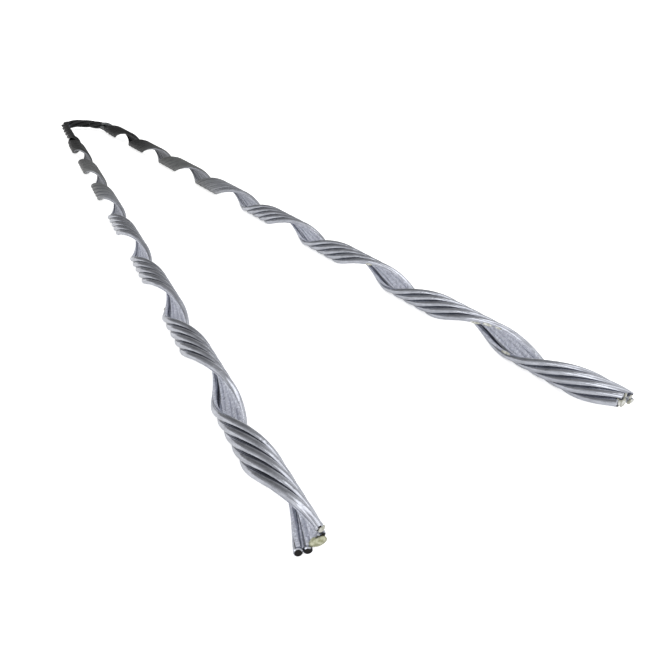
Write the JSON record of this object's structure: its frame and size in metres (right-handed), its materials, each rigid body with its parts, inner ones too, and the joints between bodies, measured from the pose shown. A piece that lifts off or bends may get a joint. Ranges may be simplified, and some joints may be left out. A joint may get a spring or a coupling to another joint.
{
  "type": "helical guy grip dead-end",
  "caption": "Helical steel wire grip that wraps around a guy strand and ends it in a cabled loop for a thimble.",
  "frame": {"origin": "where a thimble bears, on the inside of the loop at its apex, in the plane of the two legs' centre lines", "axes": "+X from the loop to the free ends, halfway between the legs; +Y towards the long leg; +Z square to the plane of the legs"},
  "size_m": [0.6472, 0.1395, 0.0124],
  "materials": {
    "galvanized_wire": "bright galvanized steel, painted black on the loop and fading to bare metal along the first pitches",
    "grit": "abrasive grit in adhesive"
  },
  "bodies": {
    "root": {"wire_1": "galvanized_wire", "wire_2": "galvanized_wire", "wire_3": "galvanized_wire", "wire_4": "galvanized_wire", "wire_5": "galvanized_wire", "grit_lining_long_leg": "grit", "grit_lining_short_leg": "grit"}
  },
  "joints": []
}
